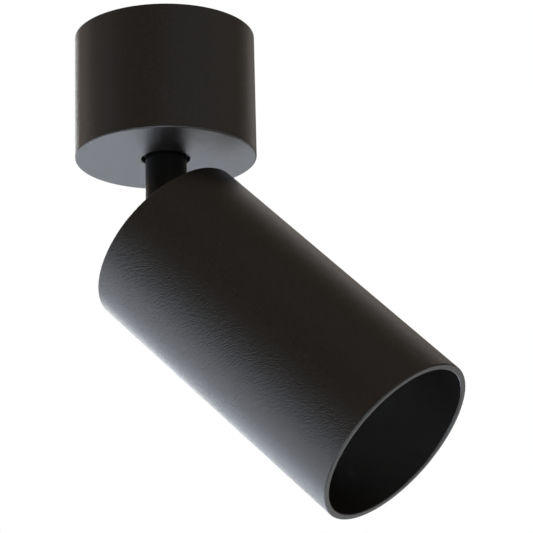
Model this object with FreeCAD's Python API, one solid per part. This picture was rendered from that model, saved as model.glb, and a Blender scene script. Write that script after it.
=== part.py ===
import FreeCAD, Part
import math
import os

# Surface mounted ceiling spotlight: a round canopy screwed to the ceiling, a neck that swivels in it,
# and a tube head that tilts on the neck and holds one twist-lock reflector lamp.
# Millimetres, Z up. The origin is the middle of the canopy's top plane, so all of it hangs below.
# The head leans towards +X. Head pieces are drawn hanging straight down, then tilted about the pivot.

Vector = FreeCAD.Vector
ORIGIN = Vector(0, 0, 0)
X_AXIS = Vector(1, 0, 0)
Y_AXIS = Vector(0, 1, 0)
Z_AXIS = Vector(0, 0, 1)

# Canopy
canopy_radius = 28.0
canopy_height = 40.0
canopy_wall = 2.5
canopy_floor = 3.0
canopy_hole_radius = 7.5
floor_top = canopy_floor - canopy_height
canopy_inner_radius = canopy_radius - canopy_wall

# Ceiling bracket, a strap across the canopy that lies turned against the head's swing
strap_angle = 25.5
strap_width = 16.0
strap_thickness = 1.5
strap_reach = 24.0
strap_ear_drop = 12.0
ceiling_hole_spacing = 34.0
ceiling_hole_radius = 2.25
cable_hole_radius = 4.0
shelf_width = 13.0
shelf_reach = 21.0
grub_screw_level = -7.0

# Connector block under the bracket's shelf: two poles side by side, wires entering along Y
terminal_near = 8.6
terminal_length = 13.0
terminal_middle = terminal_near + terminal_length / 2
terminal_pitch = 8.0
terminal_body_height = 8.0
tower_radius = 2.9
tower_height = 3.0
tower_offset = 3.9
wire_way_radius = 1.5
barrel_radius = 2.0
wire_level = -strap_thickness - 3.0
terminal_recess_depth = 2.0
earth_screw_x = -9.5
earth_tag_thickness = 0.8

# Fastener sizes: radius of the shank, and of the hole that it passes or is screwed into
m3_radius = 1.48
m3_hole_radius = 1.5
m3_clear_radius = 1.6

# Neck and its swivel in the canopy floor
neck_radius = 6.4
neck_bore_radius = 2.75
nipple_radius = 5.0
nipple_top = -28.0
nipple_flat = 4.3
collar_radius = 7.2
running_gap = 0.05
bush_flange_radius = 12.0
bush_flange_top = floor_top + 1.5
bush_bottom = floor_top - 0.3
collar_thickness = 1.1
stop_washer_top = bush_flange_top + 1.0
disc_spring_top = stop_washer_top + 1.4
lock_nut_top = disc_spring_top + 3.0
stop_pin_radius = 1.5
stop_pin_circle = 14.0
stop_pin_foot = floor_top - 1.8

# Tilt hinge
pivot_drop = 26.8
pivot_z = -canopy_height - pivot_drop
rest_tilt = 45.0
largest_tilt = 60.0
knuckle_radius = 5.5
knuckle_half_width = 4.25
knuckle_shoulder = 6.3
hinge_washer_thickness = 0.5
ear_radius = 5.0
ear_thickness = 1.5
ear_inner_face = knuckle_half_width + hinge_washer_thickness
ear_outer_face = ear_inner_face + ear_thickness

# Head, with every depth measured from the pivot towards the mouth
head_radius = 28.0
head_wall = 2.0
head_length = 100.5
head_rear_depth = 0.8
head_mouth_depth = head_rear_depth + head_length
head_inner_radius = head_radius - head_wall
cap_recess = 3.0
cap_thickness = 2.0
cap_depth = head_rear_depth + cap_recess
cap_under_depth = cap_depth + cap_thickness
cap_skirt = 6.0
cap_screw_circle = 17.0
hinge_base_depth = cap_under_depth + ear_thickness

# Lampholder and lamp
holder_bracket_depth = 11.0
holder_bracket_thickness = 1.2
holder_depth = holder_bracket_depth + holder_bracket_thickness
holder_height = 14.8
holder_radius = 13.5
holder_screw_offset = 9.8
lamp_base_depth = holder_depth + holder_height
lamp_height = 46.5
lamp_front_depth = lamp_base_depth + lamp_height
lamp_radius = 25.0
lens_radius = 23.1
pin_offset = 5.0
pin_neck_radius = 1.5
pin_button_radius = 2.45
pin_length = 7.5
holder_face_thickness = 2.2
socket_depth = 9.0
glare_ring_height = 3.3

# Leads
lead_radius = 0.85
lead_bundle_radius = 1.15
lead_joint_reach = 9.2
lead_joint_gap = 0.3


def depth(distance):
    """Height of a point that lies this far from the pivot towards the mouth, with the head hanging down."""
    return pivot_z - distance


def path(corners, closed=False):
    """Wire of straight runs through (point, radius) corners, each corner rounded to its radius."""
    stretches = []
    for index, (corner, radius) in enumerate(corners):
        is_end = not closed and index in (0, len(corners) - 1)
        if is_end or radius == 0:
            stretches.append((corner, None, corner))
            continue
        back = (corners[index - 1][0] - corner).normalize()
        ahead = (corners[(index + 1) % len(corners)][0] - corner).normalize()
        half_angle = back.getAngle(ahead) / 2
        reach = radius / math.tan(half_angle)
        sagitta = radius / math.sin(half_angle) - radius
        middle = corner + (back + ahead).normalize() * sagitta
        stretches.append((corner + back * reach, middle, corner + ahead * reach))
    edges = []
    for index, (start, middle, end) in enumerate(stretches):
        if middle:
            edges.append(Part.Arc(start, middle, end).toShape())
        if not closed and index == len(stretches) - 1:
            continue
        following = stretches[(index + 1) % len(stretches)][0]
        if following.distanceToPoint(end) > 1e-6:
            edges.append(Part.LineSegment(end, following).toShape())
    return Part.Wire(edges)


def turned(corners):
    """Solid turned about Z, from (radius, height, rounding) corners of its half section."""
    section = Part.Face(path([(Vector(r, 0, z), rounding) for r, z, rounding in corners], closed=True))
    return section.revolve(ORIGIN, Z_AXIS, 360)


def ring(outer, inner, bottom, top):
    return turned([(inner, bottom, 0), (outer, bottom, 0), (outer, top, 0), (inner, top, 0)])


def disc(radius, bottom, top, x=0.0, y=0.0):
    return Part.makeCylinder(radius, top - bottom, Vector(x, y, bottom), Z_AXIS)


def plan(corners, bottom, top):
    """Plate from (x, y, rounding) corners, between two heights."""
    outline = path([(Vector(x, y, bottom), rounding) for x, y, rounding in corners], closed=True)
    return Part.Face(outline).extrude(Vector(0, 0, top - bottom))


def rounded_rectangle(x_low, x_high, y_low, y_high, rounding, bottom, top):
    corners = [(x_low, y_low), (x_high, y_low), (x_high, y_high), (x_low, y_high)]
    return plan([(x, y, rounding) for x, y in corners], bottom, top)


def side_plate(corners, y_low, y_high):
    """Plate from (x, z, rounding) corners of its side view, between two values of y."""
    outline = path([(Vector(x, y_low, z), rounding) for x, z, rounding in corners], closed=True)
    return Part.Face(outline).extrude(Vector(0, y_high - y_low, 0))


def end_plate(corners, x_low, x_high):
    """Plate from (y, z, rounding) corners of its end view, between two values of x."""
    outline = path([(Vector(x_low, y, z), rounding) for y, z, rounding in corners], closed=True)
    return Part.Face(outline).extrude(Vector(x_high - x_low, 0, 0))


def hexagon(across_flats, bottom, top):
    corner_radius = across_flats / math.sqrt(3)
    angles = [math.radians(60 * side) for side in range(6)]
    corners = [(corner_radius * math.cos(a), corner_radius * math.sin(a), 0) for a in angles]
    return plan(corners, bottom, top)


def placed(shape, position, direction):
    """The shape, drawn up Z from the origin, turned to point along direction and moved to position."""
    copy = shape.copy()
    copy.Placement = FreeCAD.Placement(position, FreeCAD.Rotation(Z_AXIS, direction))
    return copy


def on_strap(shape):
    """Turn a piece that is drawn with the strap along X to where the strap lies."""
    return shape.rotate(ORIGIN, Z_AXIS, strap_angle)


def tilted(shape):
    """Swing a head piece from straight down to the tilt at rest."""
    return shape.rotate(Vector(0, 0, pivot_z), -Y_AXIS, rest_tilt)


def cap_screw(shank_length, head_radius, head_height, socket_across_flats):
    """Button-headed socket screw: its shank points down Z and its head sits on the plane z = 0."""
    shank_tip = 0.4
    body = turned([
        (0, -shank_length, 0),
        (m3_radius, -shank_length, shank_tip),
        (m3_radius, 0, 0),
        (head_radius, 0, 0),
        (head_radius, head_height, head_height * 0.7),
        (0, head_height, 0),
    ])
    return body.cut(hexagon(socket_across_flats, head_height * 0.35, head_height + 1))


def lead(corners):
    """Round insulated lead along (point, radius) corners."""
    route = path(corners)
    start = corners[0][0]
    heading = corners[1][0] - start
    circle = Part.Wire(Part.makeCircle(lead_radius, start, heading))
    return route.makePipeShell([circle], True, False)


def lead_place(index):
    """Where one of the three leads lies in the neck's bore: its x and y."""
    angle = math.radians(90 + 120 * index)
    return lead_bundle_radius * math.cos(angle), lead_bundle_radius * math.sin(angle)


# Canopy pieces


def canopy_housing():
    rim_rounding = 0.3
    edge_rounding = 0.5
    inner_rounding = 2.0
    cup = turned([
        (canopy_radius, 0, rim_rounding),
        (canopy_radius, -canopy_height, edge_rounding),
        (canopy_hole_radius, -canopy_height, rim_rounding),
        (canopy_hole_radius, floor_top, 0),
        (canopy_inner_radius, floor_top, inner_rounding),
        (canopy_inner_radius, 0, rim_rounding),
    ])
    grub_holes = Part.makeCylinder(
        m3_hole_radius, 2 * canopy_radius + 2, Vector(-canopy_radius - 1, 0, grub_screw_level), X_AXIS
    )
    pin_hole = disc(stop_pin_radius, stop_pin_foot, floor_top, -stop_pin_circle)
    return cup.cut([on_strap(grub_holes), pin_hole])


def ceiling_bracket():
    outer_bend = 2.5
    inner_bend = outer_bend - strap_thickness
    inner_reach = strap_reach - strap_thickness
    half_width = strap_width / 2
    strap = side_plate(
        [
            (-strap_reach, 0, outer_bend),
            (strap_reach, 0, outer_bend),
            (strap_reach, -strap_ear_drop, 0),
            (inner_reach, -strap_ear_drop, 0),
            (inner_reach, -strap_thickness, inner_bend),
            (-inner_reach, -strap_thickness, inner_bend),
            (-inner_reach, -strap_ear_drop, 0),
            (-strap_reach, -strap_ear_drop, 0),
        ],
        -half_width,
        half_width,
    )
    shelf_half = shelf_width / 2
    shelf = rounded_rectangle(-shelf_half, shelf_half, 0, shelf_reach, 2.0, -strap_thickness, 0)
    holes = [disc(cable_hole_radius, -strap_thickness, 0)]
    for side in (-1, 1):
        x = side * ceiling_hole_spacing / 2
        holes.append(disc(ceiling_hole_radius, -strap_thickness, 0, x))
    holes.append(disc(m3_hole_radius, -strap_thickness, 0, 0, terminal_middle))
    holes.append(disc(m3_hole_radius, -strap_thickness, 0, earth_screw_x))
    return on_strap(strap.fuse(shelf).removeSplitter().cut(holes))


def grub_screws():
    """Two socket set screws through the canopy wall, flush outside and tight on the bracket's ears."""
    length = canopy_radius - strap_reach - 0.15
    screw = turned([(0, 0, 0), (0.8, 0, 0), (m3_radius, 0.7, 0), (m3_radius, length, 0.2), (0, length, 0)])
    screw = screw.cut(hexagon(1.5, length - 1.5, length + 1))
    screws = []
    for side in (-1, 1):
        direction = Vector(side, 0, 0)
        seat = Vector(side * strap_reach, 0, grub_screw_level)
        screws.append(on_strap(placed(screw, seat, direction)))
    return Part.makeCompound(screws)


def pole_places():
    return [-terminal_pitch / 2, terminal_pitch / 2]


def tower_places():
    return [(x, terminal_middle + side * tower_offset) for x in pole_places() for side in (-1, 1)]


def terminal_block():
    top = -strap_thickness
    bottom = top - terminal_body_height
    body = rounded_rectangle(
        -terminal_pitch, terminal_pitch, terminal_near, terminal_near + terminal_length, 1.0, bottom, top
    )
    for x, y in tower_places():
        body = body.fuse(disc(tower_radius, bottom - tower_height, bottom, x, y))
    ways = [disc(m3_hole_radius, bottom, top, 0, terminal_middle)]
    for x in pole_places():
        start = Vector(x, terminal_near, wire_level)
        ways.append(Part.makeCylinder(barrel_radius, terminal_length, start, Y_AXIS))
    for x, y in tower_places():
        ways.append(disc(m3_hole_radius, bottom - tower_height, wire_level, x, y))
    valley = Part.makeBox(1.2, terminal_length, 2.5, Vector(-0.6, terminal_near, bottom))
    recess = disc(3.2, bottom, bottom + terminal_recess_depth, 0, terminal_middle)
    return on_strap(body.cut(ways + [valley, recess]).removeSplitter())


def terminal_barrels():
    """Brass tubes that grip the wires, one in each pole."""
    barrels = []
    end_gap = 1.0
    length = terminal_length - 2 * end_gap
    for x in pole_places():
        start = Vector(x, terminal_near + end_gap, wire_level)
        barrel = Part.makeCylinder(barrel_radius, length, start, Y_AXIS)
        way = Part.makeCylinder(wire_way_radius, length, start, Y_AXIS)
        screw_ways = [
            disc(m3_hole_radius, wire_level - barrel_radius - 1, wire_level, x, y)
            for tower_x, y in tower_places()
            if tower_x == x
        ]
        barrels.append(on_strap(barrel.cut([way] + screw_ways)))
    return Part.makeCompound(barrels)


def terminal_screws():
    """Four slotted clamping screws in the towers of the connector block."""
    tower_bottom = -strap_thickness - terminal_body_height - tower_height
    tip = wire_level - lead_radius
    screws = []
    for x, y in tower_places():
        screw = disc(m3_radius, tower_bottom + 0.6, tip, x, y)
        slot = Part.makeBox(4, 0.6, 1.0, Vector(x - 2, y - 0.3, tower_bottom + 0.6))
        screws.append(on_strap(screw.cut(slot)))
    return Part.makeCompound(screws)


def terminal_fixing_screw():
    recess_floor = -strap_thickness - terminal_body_height + terminal_recess_depth
    screw = cap_screw(-recess_floor, 2.7, 1.6, 2.0)
    return on_strap(placed(screw, Vector(0, terminal_middle, recess_floor), -Z_AXIS))


def ring_tag(eye_radius, tail_length):
    """Flat ring with a tail along X, its upper face on the plane z = 0."""
    bottom = -earth_tag_thickness
    eye = disc(eye_radius, bottom, 0)
    tail = rounded_rectangle(0, tail_length, -1.0, 1.0, 0.4, bottom, 0)
    hole = disc(m3_hole_radius, bottom, 0)
    return eye.fuse(tail).cut(hole).removeSplitter()


def earth_tag():
    """Ring tag that ends the earth lead, held under the earth screw."""
    top = -strap_thickness
    return on_strap(ring_tag(3.4, 5.5).translated(Vector(earth_screw_x, 0, top)))


def earth_screw():
    tag_under = -strap_thickness - earth_tag_thickness
    screw = cap_screw(-tag_under, 2.9, 1.8, 2.0)
    return on_strap(placed(screw, Vector(earth_screw_x, 0, tag_under), -Z_AXIS))


def neck_bush():
    """Nylon bush in the floor's hole; the neck turns in it."""
    bore = neck_radius + running_gap
    body_radius = canopy_hole_radius - 0.02
    return turned([
        (bore, bush_bottom, 0.2),
        (body_radius, bush_bottom, 0.2),
        (body_radius, floor_top, 0),
        (bush_flange_radius, floor_top, 0),
        (bush_flange_radius, bush_flange_top, 0.4),
        (bore, bush_flange_top, 0),
    ])


def stop_pin():
    """Pin pressed into the canopy floor; the stop washer's tab meets it at each end of the swivel."""
    length = stop_washer_top + 1.0 - stop_pin_foot
    radius = stop_pin_radius - 0.02
    pin = turned([(0, 0, 0), (radius, 0, 0.3), (radius, length, 0.4), (0, length, 0)])
    return placed(pin, Vector(-stop_pin_circle, 0, stop_pin_foot), Z_AXIS)


def canopy_lead(index, target, approach, bend):
    """Lead from the neck's top to a target inside the canopy, drawn with the strap along X."""
    x, y = lead_place(index)
    start = Vector(x, y, nipple_top + 0.6)
    rise = Vector(x, y, nipple_top + 8.0)
    route = lead([(start, 0), (rise, bend), (approach, bend), (target, 0)])
    return on_strap(route)


def canopy_live_lead():
    x = pole_places()[0]
    inside = terminal_near + 3.5
    return canopy_lead(1, Vector(x, inside, wire_level), Vector(x, 0.0, wire_level), 3.5)


def canopy_neutral_lead():
    x = pole_places()[1]
    inside = terminal_near + 3.5
    return canopy_lead(2, Vector(x, inside, wire_level), Vector(x, 0.0, wire_level), 3.5)


def canopy_earth_lead():
    tag_end = earth_screw_x + 5.5
    level = -strap_thickness - earth_tag_thickness - lead_radius
    return canopy_lead(0, Vector(tag_end - 1.5, 0.0, level), Vector(tag_end + 4.5, 0.0, level), 2.5)


# Neck pieces


def knuckle_side(half_thickness):
    """Side view of the neck's end: flats square to straight down and to the largest tilt, joined by an arc.
    The flats meet the hinge bracket's base just past the ends of the tilt."""
    outside = neck_radius + 0.5
    top = depth(-knuckle_shoulder - 1)
    turn = math.radians(largest_tilt)
    flats_meet = knuckle_radius * math.tan(turn / 2)
    flat_end = (outside * math.sin(turn) - knuckle_radius) / math.cos(turn)
    return side_plate(
        [
            (-outside, top, 0),
            (-outside, depth(knuckle_radius), 0),
            (flats_meet, depth(knuckle_radius), knuckle_radius),
            (outside, depth(-flat_end), 0),
            (outside, top, 0),
        ],
        -half_thickness,
        half_thickness,
    )


def neck_tube():
    bottom = depth(knuckle_radius)
    edge = 0.3
    collar_top = bush_bottom - 0.1
    collar_bottom = collar_top - collar_thickness
    shoulder = bush_flange_top - 0.1
    tube = turned([
        (neck_bore_radius, nipple_top, 0),
        (nipple_radius, nipple_top, 0.5),
        (nipple_radius, shoulder, 0),
        (neck_radius, shoulder, 0),
        (neck_radius, collar_top, 0),
        (collar_radius, collar_top, 0),
        (collar_radius, collar_bottom, edge),
        (neck_radius, collar_bottom, 0),
        (neck_radius, bottom, 0),
        (neck_bore_radius, bottom, 0),
    ])
    below = Part.makeBox(40, 40, 30, Vector(-20, -20, depth(-knuckle_shoulder) - 30))
    waste = below.cut(knuckle_side(knuckle_half_width))
    key_flat = Part.makeBox(5, 20, nipple_top - shoulder, Vector(-nipple_flat - 5, -10, shoulder))
    screw_ways = Part.makeCylinder(m3_hole_radius, 20, Vector(0, -10, pivot_z), Y_AXIS)
    return tube.cut([waste, key_flat, screw_ways])


def stop_washer():
    """Washer keyed on the nipple's flat, with a tab that runs up against the stop pin."""
    tab_half_width = 2.0
    tab_end = stop_pin_circle + 2.0
    under = bush_flange_top
    washer = disc(10.5, under, stop_washer_top)
    tab = rounded_rectangle(0, tab_end, -tab_half_width, tab_half_width, 0.6, under, stop_washer_top)
    bore = disc(nipple_radius + 0.02, under, stop_washer_top)
    keep = Part.makeBox(5, 20, 3, Vector(-nipple_flat - 0.02 - 5, -10, under - 1))
    return washer.fuse(tab).removeSplitter().cut(bore.cut(keep))


def disc_spring():
    """Coned spring washer that presses the stop washer on the bush."""
    thickness = 0.6
    return turned([
        (8.6, stop_washer_top, 0),
        (8.6, stop_washer_top + thickness, 0),
        (nipple_radius + 0.2, disc_spring_top, 0),
        (nipple_radius + 0.2, disc_spring_top - thickness, 0),
    ])


def lock_nut():
    across_flats = 14.0
    block = hexagon(across_flats, disc_spring_top, lock_nut_top)
    crown = turned([
        (nipple_radius + 0.02, disc_spring_top, 0),
        (across_flats * 0.54, disc_spring_top, 0),
        (across_flats * 0.6, disc_spring_top + 0.6, 0),
        (across_flats * 0.6, lock_nut_top - 0.6, 0),
        (across_flats * 0.54, lock_nut_top, 0),
        (nipple_radius + 0.02, lock_nut_top, 0),
    ])
    return block.common(crown)


def trunnion_screws():
    """Two shoulder screws, one through each bracket ear into the knuckle, so leads can pass between."""
    length = ear_outer_face - neck_bore_radius - 0.3
    screw = cap_screw(length, 2.9, 1.7, 2.0)
    screws = []
    for side in (-1, 1):
        seat = Vector(0, side * ear_outer_face, pivot_z)
        screws.append(placed(screw, seat, Vector(0, side, 0)))
    return Part.makeCompound(screws)


def hinge_washers():
    """Friction washers between the knuckle's flats and the bracket's ears."""
    washer = ring(4.5, m3_hole_radius + 0.02, 0, hinge_washer_thickness)
    washers = []
    for side in (-1, 1):
        seat = Vector(0, side * knuckle_half_width, pivot_z)
        washers.append(placed(washer, seat, Vector(0, side, 0)))
    return Part.makeCompound(washers)


def neck_leads():
    """The three leads down the neck, cut where they leave the knuckle."""
    leads = []
    for index in range(3):
        x, y = lead_place(index)
        leads.append(disc(lead_radius, depth(lead_joint_reach), nipple_top + 0.4, x, y))
    return Part.makeCompound(leads)


# Head pieces


def head_tube():
    rear = depth(head_rear_depth)
    mouth = depth(head_mouth_depth)
    return tilted(turned([
        (head_radius, rear, 0.5),
        (head_radius, mouth, 0.4),
        (head_inner_radius, mouth, 0.4),
        (head_inner_radius, rear, 0.4),
    ]))


def cap_screw_places():
    reach = cap_screw_circle
    return [(reach, 0), (0, reach), (-reach, 0), (0, -reach)]


def rear_cap():
    """Pressed cap in the head's rear end, with a skirt and a window for the hinge."""
    skirt_wall = 1.5
    outer = head_inner_radius - 0.02
    inner = outer - skirt_wall
    cap = turned([
        (0, depth(cap_depth), 0),
        (outer, depth(cap_depth), 0.8),
        (outer, depth(cap_under_depth + cap_skirt), 0),
        (inner, depth(cap_under_depth + cap_skirt), 0),
        (inner, depth(cap_under_depth), 1.0),
        (0, depth(cap_under_depth), 0),
    ])
    half_width = ear_outer_face + 0.35
    below = depth(cap_under_depth + 1)
    above = depth(cap_depth - 1)
    window = rounded_rectangle(-14.5, 8.0, -half_width, half_width, 1.5, below, above)
    holes = [disc(m3_clear_radius, below, above, x, y) for x, y in cap_screw_places()]
    return tilted(cap.cut([window] + holes))


def hinge_bracket():
    """Steel strip under the cap with two ears turned up through the window, and a slot for the leads."""
    top = depth(cap_under_depth)
    bottom = depth(hinge_base_depth)
    half_length = cap_screw_circle + 4.0
    half_width = ear_outer_face
    base = rounded_rectangle(-half_length, half_length, -half_width, half_width, 2.0, bottom, top)
    ear_corners = [
        (-ear_radius, bottom, 0),
        (-ear_radius, depth(-ear_radius), ear_radius),
        (ear_radius, depth(-ear_radius), ear_radius),
        (ear_radius, bottom, 0),
    ]
    ears = [
        side_plate(ear_corners, ear_inner_face, ear_outer_face),
        side_plate(ear_corners, -ear_outer_face, -ear_inner_face),
    ]
    slot = rounded_rectangle(-14.0, 3.5, -neck_bore_radius, neck_bore_radius, 2.0, bottom, top)
    pin_ways = Part.makeCylinder(m3_radius + running_gap, 20, Vector(0, -10, pivot_z), Y_AXIS)
    holes = [disc(m3_hole_radius, bottom, top, x, y) for x, y in cap_screw_places() if y == 0]
    return tilted(base.fuse(ears).removeSplitter().cut([slot, pin_ways] + holes))


def cap_screws():
    """Four screws through the cap: two hold the hinge bracket and two the lampholder's bracket."""
    screw = cap_screw(5.5, 2.8, 1.7, 2.0)
    screws = []
    for x, y in cap_screw_places():
        screws.append(tilted(placed(screw, Vector(x, y, depth(cap_depth)), Z_AXIS)))
    return Part.makeCompound(screws)


def holder_bracket():
    """Hat-shaped strap that carries the lampholder below the cap."""
    thickness = holder_bracket_thickness
    foot_top = depth(cap_under_depth)
    foot_bottom = foot_top - thickness
    seat_top = depth(holder_bracket_depth)
    seat_bottom = depth(holder_depth)
    foot_end = cap_screw_circle + 4.0
    leg_inner = 13.0
    leg_outer = leg_inner + thickness
    tight = 0.6
    wide = tight + thickness
    half_width = 8.0
    strap = end_plate(
        [
            (-foot_end, foot_top, 0),
            (-leg_inner, foot_top, wide),
            (-leg_inner, seat_top, tight),
            (leg_inner, seat_top, tight),
            (leg_inner, foot_top, wide),
            (foot_end, foot_top, 0),
            (foot_end, foot_bottom, 0),
            (leg_outer, foot_bottom, tight),
            (leg_outer, seat_bottom, wide),
            (-leg_outer, seat_bottom, wide),
            (-leg_outer, foot_bottom, tight),
            (-foot_end, foot_bottom, 0),
        ],
        -half_width,
        half_width,
    )
    holes = []
    for side in (-1, 1):
        holes.append(disc(m3_hole_radius, foot_bottom, foot_top, 0, side * cap_screw_circle))
        holes.append(disc(m3_hole_radius, seat_bottom, seat_top, 0, side * holder_screw_offset))
    return tilted(strap.cut(holes))


def arc_slot(half_width, sweep, bottom, top):
    """Curved slot about Z at the pins' radius, from a pin's locked place back through the sweep."""
    sector = Part.makeCylinder(pin_offset + half_width, top - bottom, Vector(0, 0, bottom), Z_AXIS, sweep)
    core = disc(pin_offset - half_width, bottom, top)
    start = disc(half_width, bottom, top, pin_offset)
    end = start.copy().rotate(ORIGIN, Z_AXIS, sweep)
    return sector.cut(core).fuse([start, end])


def lampholder():
    """Ceramic twist-lock holder: round entries lead into narrow curved slots with sockets behind them."""
    rear = depth(holder_depth)
    front = depth(lamp_base_depth)
    floor = front + socket_depth
    sweep = 32.0
    body = turned([
        (0, front, 0),
        (holder_radius, front, 0.8),
        (holder_radius, rear, 1.2),
        (0, rear, 0),
    ])
    screw_seat = rear - 3.8
    cuts = []
    for side in (-1, 1):
        y = side * holder_screw_offset
        cuts.append(disc(m3_clear_radius, screw_seat, rear, 0, y))
        cuts.append(disc(2.95, front, screw_seat, 0, y))
    for turn in (0, 180):
        narrow = arc_slot(pin_neck_radius + 0.25, sweep, front, front + holder_face_thickness)
        socket = arc_slot(pin_button_radius + 0.3, sweep, front + holder_face_thickness, floor)
        entry = disc(pin_button_radius + 0.3, front, floor, pin_offset)
        entry.rotate(ORIGIN, Z_AXIS, sweep)
        keyhole = narrow.fuse([socket, entry])
        cuts.append(keyhole.rotate(ORIGIN, Z_AXIS, turn))
    lead_way = Part.makeCylinder(lead_radius + 0.15, 5, Vector(-holder_radius - 1, 0, 0), X_AXIS)
    for y in (-1.5, 1.5):
        cuts.append(lead_way.translated(Vector(0, y, lead_entry_height())))
    return tilted(body.cut(cuts))


def lead_entry_height():
    return depth(holder_depth + 3.6)


def holder_contacts():
    """Sprung bronze contacts at the foot of each socket; the lamp's pins press on them."""
    floor = depth(lamp_base_depth - socket_depth)
    pin_end = depth(lamp_base_depth - pin_length)
    contacts = []
    for side in (-1, 1):
        leaf = turned([(0, pin_end, 0), (1.2, pin_end, 0), (2.3, floor, 0), (0, floor, 0)])
        contacts.append(tilted(leaf.translated(Vector(side * pin_offset, 0, 0))))
    return Part.makeCompound(contacts)


def holder_screws():
    seat = depth(holder_depth) - 3.8
    screw = cap_screw(6.0, 2.75, 1.9, 2.0)
    screws = []
    for side in (-1, 1):
        place = Vector(0, side * holder_screw_offset, seat)
        screws.append(tilted(placed(screw, place, -Z_AXIS)))
    return Part.makeCompound(screws)


def lamp_body():
    """Reflector lamp: a stub base that widens to the round front, with a rim round the lens."""
    rear = depth(lamp_base_depth)
    front = depth(lamp_front_depth)
    bezel = lamp_radius - 1.6
    return tilted(turned([
        (0, rear, 0),
        (11.5, rear, 0.8),
        (11.5, rear - 7.0, 2.0),
        (15.5, rear - 12.0, 4.0),
        (20.5, rear - 25.0, 20.0),
        (lamp_radius - 0.8, front + 4.5, 2.0),
        (lamp_radius, front + 2.5, 0.3),
        (lamp_radius, front, 0.6),
        (bezel, front, 0.4),
        (lens_radius + 0.02, front + 2.0, 0),
        (0, front + 2.0, 0),
    ]))


def lamp_lens():
    """Clear lens in the lamp's rim, ringed with shallow steps round a dished middle."""
    front = depth(lamp_front_depth)
    back = front + 2.0
    steps = [(0, back, 0), (lens_radius, back, 0), (lens_radius, front + 0.6, 0.3)]
    step_count = 5
    step_width = 2.4
    step_rise = 0.35
    for step in range(step_count):
        outer = lens_radius - 1.6 - step * step_width
        steps.append((outer, front + 0.6, 0))
        steps.append((outer - step_width * 0.8, front + 0.6 + step_rise, 0))
    middle = lens_radius - 1.6 - step_count * step_width
    steps += [(middle, front + 0.6, 0), (0, front + 1.1, 0)]
    return tilted(turned(steps))


def lamp_pins():
    base = depth(lamp_base_depth)
    neck_end = base + holder_face_thickness + 0.6
    tip = base + pin_length
    pin = turned([
        (0, base, 0),
        (pin_neck_radius, base, 0),
        (pin_neck_radius, neck_end, 0),
        (pin_button_radius, neck_end, 0.3),
        (pin_button_radius, tip, 0.6),
        (0, tip, 0),
    ])
    return Part.makeCompound([tilted(pin.translated(Vector(side * pin_offset, 0, 0))) for side in (-1, 1)])


def glare_ring():
    """Black ring that sits on the lamp's rim, with stepped baffles that open towards the mouth."""
    back = depth(lamp_front_depth)
    front = back - glare_ring_height
    outer = head_inner_radius - 0.02
    return tilted(turned([
        (22.2, back, 0),
        (outer, back, 0),
        (outer, front, 0.3),
        (outer - 0.9, front, 0.3),
        (24.3, front + 1.1, 0),
        (23.6, front + 1.1, 0),
        (23.2, front + 2.2, 0),
        (22.6, front + 2.2, 0),
    ]))


def leaving_knuckle(index, out):
    """Where one of the leads starts in the head, and the point this far on in the neck's direction."""
    lean = math.radians(rest_tilt)
    x, y = lead_place(index)
    points = []
    for reach in (lead_joint_reach + lead_joint_gap, lead_joint_reach + lead_joint_gap + out):
        across = -reach * math.sin(lean) + x * math.cos(lean)
        down = reach * math.cos(lean) + x * math.sin(lean)
        points.append(Vector(across, y, depth(down)))
    return points


def head_leads():
    """Live and neutral from the knuckle to the side of the lampholder, in the photographed tilt."""
    leads = []
    for index, y_entry in ((1, -1.5), (2, 1.5)):
        start, turn = leaving_knuckle(index, 2.2)
        corners = [
            (start, 0),
            (turn, 2.0),
            (Vector(-15.8, y_entry, depth(holder_bracket_depth - 0.6)), 1.6),
            (Vector(-16.4, y_entry, lead_entry_height()), 1.6),
            (Vector(-holder_radius + 2.5, y_entry, lead_entry_height()), 0),
        ]
        leads.append(tilted(lead(corners)))
    return Part.makeCompound(leads)


def head_earth_tag():
    """Ring tag under the hinge bracket, on the cap screw nearest the leads; it earths the head."""
    tag = ring_tag(3.2, 6.0).rotate(ORIGIN, Z_AXIS, 45)
    return tilted(tag.translated(Vector(-cap_screw_circle, 0, depth(hinge_base_depth))))


def head_earth_lead():
    """Earth lead from the knuckle, round beside the slot and along the tail of its tag."""
    level = depth(hinge_base_depth + earth_tag_thickness + lead_radius)
    start, turn = leaving_knuckle(0, 2.6)
    along_tail = 3.3
    end = Vector(along_tail - cap_screw_circle, along_tail, level)
    corner = end + Vector(3.6, 3.6, 0)
    return tilted(lead([(start, 0), (turn, 1.6), (corner, 1.6), (end, 0)]))


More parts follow.
